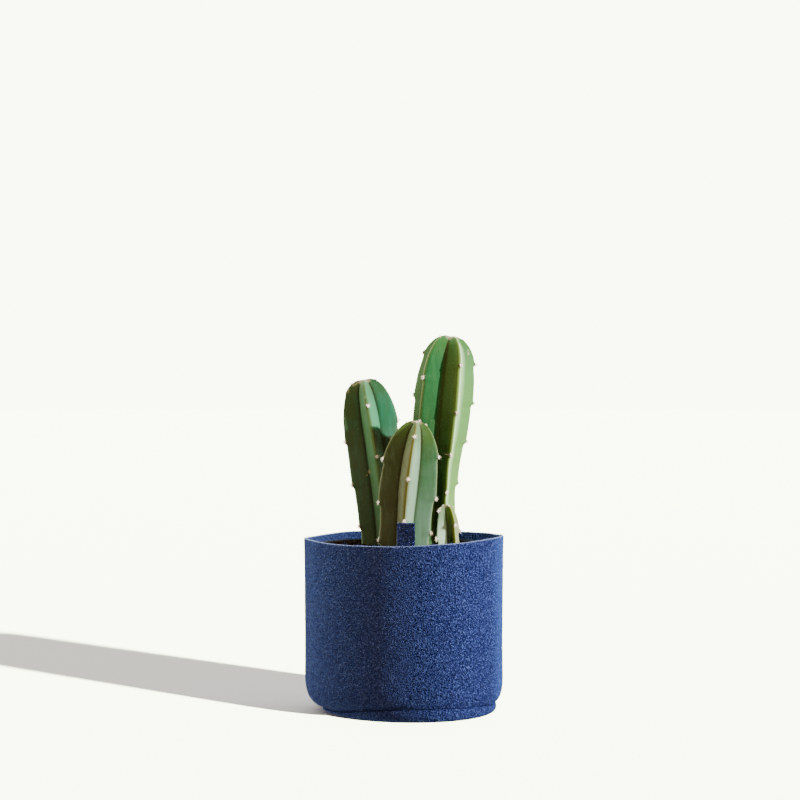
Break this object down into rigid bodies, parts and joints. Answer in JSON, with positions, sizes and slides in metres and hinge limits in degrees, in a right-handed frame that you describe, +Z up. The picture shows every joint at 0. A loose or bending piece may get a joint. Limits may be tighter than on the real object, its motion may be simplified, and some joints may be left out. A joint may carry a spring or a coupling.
{
  "type": "potted blue myrtle cactus",
  "caption": "Ribbed columnar cactus stems with wool cushions and short spines, in a nursery pot of soil inside a sewn blue felt pot cover.",
  "frame": {"origin": "centre of the overall box at the surface that the pot cover stands on", "axes": "+Z up, -Y towards the front, where the felt tab stands behind the rim, +X to the right"},
  "size_m": [0.1302, 0.1302, 0.2443],
  "materials": {
    "felt": "matte",
    "pot_plastic": "matte",
    "potting_soil": "matte",
    "cactus_skin": "satin"
  },
  "bodies": {
    "root": {"felt_wall": "felt", "felt_base": "felt", "felt_tag": "felt", "nursery_pot": "pot_plastic", "soil": "potting_soil", "stem_tall": "cactus_skin", "stem_left": "cactus_skin", "stem_middle": "cactus_skin", "stem_small": "cactus_skin"}
  },
  "joints": []
}
